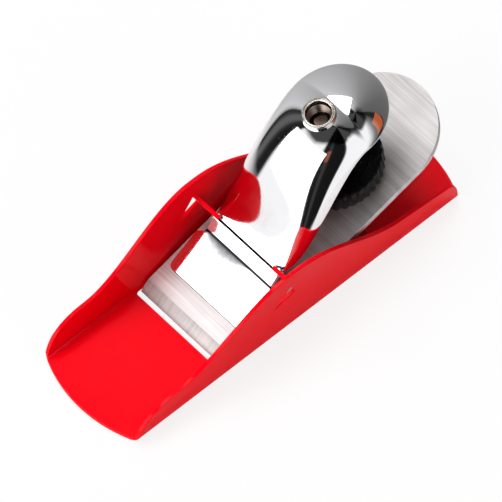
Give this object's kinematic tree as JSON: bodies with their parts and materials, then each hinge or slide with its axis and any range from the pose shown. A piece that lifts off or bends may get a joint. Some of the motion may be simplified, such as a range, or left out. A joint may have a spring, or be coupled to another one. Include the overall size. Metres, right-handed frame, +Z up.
{
  "type": "pocket block plane",
  "caption": "Pocket block plane: a red pressed-steel body with a low-angle iron under a chrome hooded lever cap, clamped by a black thumb wheel.",
  "frame": {"origin": "centre of the box around the part, on the plane that the sole stands on (z = 0 is the underside of the sole)", "axes": "+X runs from the toe to the heel, +Z is up, away from the sole, and the part is the same on both sides of the plane y = 0"},
  "size_m": [0.0892, 0.0294, 0.0392],
  "materials": {
    "red_enamel": "glossy red enamel on pressed steel",
    "bed_enamel": "the same red enamel, a little duller",
    "rivet_steel": "bright steel rivet heads",
    "iron_steel": "ground tool steel, brushed across, with a finely ground bevel",
    "cap_chrome": "bright nickel or chrome plate on pressed steel",
    "bush_nickel": "nickel-plated brass, bare brass in the bore",
    "screw_steel": "turned steel with a light oil tint",
    "wheel_black": "black moulded wheel with a grooved rim"
  },
  "bodies": {
    "body": {"body_shell": "red_enamel", "blade_bed": "bed_enamel", "bed_rivets": "rivet_steel"},
    "iron": {"blade": "iron_steel"},
    "cap": {"lever_cap": "cap_chrome", "cap_bush": "bush_nickel"},
    "screw": {"clamp_screw": "screw_steel"},
    "wheel": {"thumb_wheel": "wheel_black"}
  },
  "joints": [
    {"name": "blade_slide", "type": "slide", "parent": "body", "child": "iron", "axis": [0.9521, 0, 0.3057], "range_m": [-0.0008, 0.033]},
    {"name": "cap_tilt", "type": "hinge", "parent": "body", "child": "cap", "pos_m": [-0.00145, 0, 0.0129], "axis": [0, 1, 0], "range_deg": [0, 5.25]},
    {"name": "screw_travel", "type": "slide", "parent": "cap", "child": "screw", "axis": [-0.1822, 0, 0.9833], "range_m": [0, 0.0024]},
    {"name": "wheel_turn", "type": "hinge", "parent": "screw", "child": "wheel", "pos_m": [0.02186, 0, 0.01442], "axis": [-0.1822, 0, 0.9833], "range_deg": [0, 1080]}
  ],
  "couplings": [
    {"joint": "wheel_turn", "follows": "screw_travel", "rad_per_m": 7854},
    {"joint": "cap_tilt", "follows": "screw_travel", "rad_per_m": 37.833}
  ]
}
